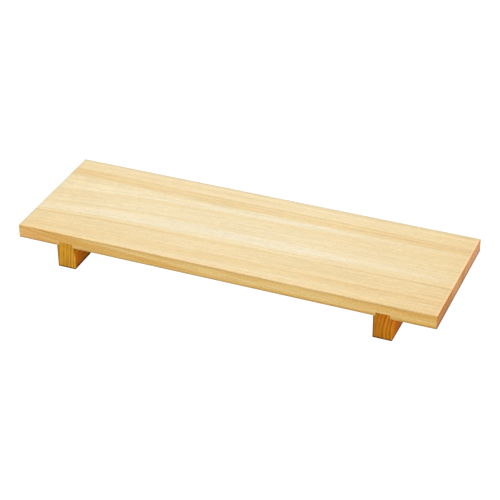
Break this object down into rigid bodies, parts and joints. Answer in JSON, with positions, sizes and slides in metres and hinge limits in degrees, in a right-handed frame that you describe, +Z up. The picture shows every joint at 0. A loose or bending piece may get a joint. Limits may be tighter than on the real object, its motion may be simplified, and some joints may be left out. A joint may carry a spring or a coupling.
{
  "type": "sushi geta board",
  "caption": "Low rectangular wooden serving board: a plank housed over cross feet, each fixed with countersunk screws from below.",
  "frame": {"origin": "midway between the feet and between the front and back edges, on the surface that the feet stand on", "axes": "+X along the plank towards its right end as the picture shows it, +Y from the front edge to the back edge, +Z up"},
  "size_m": [0.45, 0.15, 0.0405],
  "materials": {
    "board_wood": "bare planed softwood, pale cream to honey, straight bands of grain along the length",
    "left_foot_wood": "bare softwood of a deeper golden tone, upright growth rings on the end grain",
    "right_foot_wood": "bare softwood of an orange-brown tone, upright growth rings on the end grain",
    "screw_steel": "plain stainless steel, satin"
  },
  "bodies": {
    "root": {"board": "board_wood", "left_foot": "left_foot_wood", "right_foot": "right_foot_wood", "left_front_screw": "screw_steel", "left_rear_screw": "screw_steel", "right_front_screw": "screw_steel", "right_rear_screw": "screw_steel"}
  },
  "joints": []
}
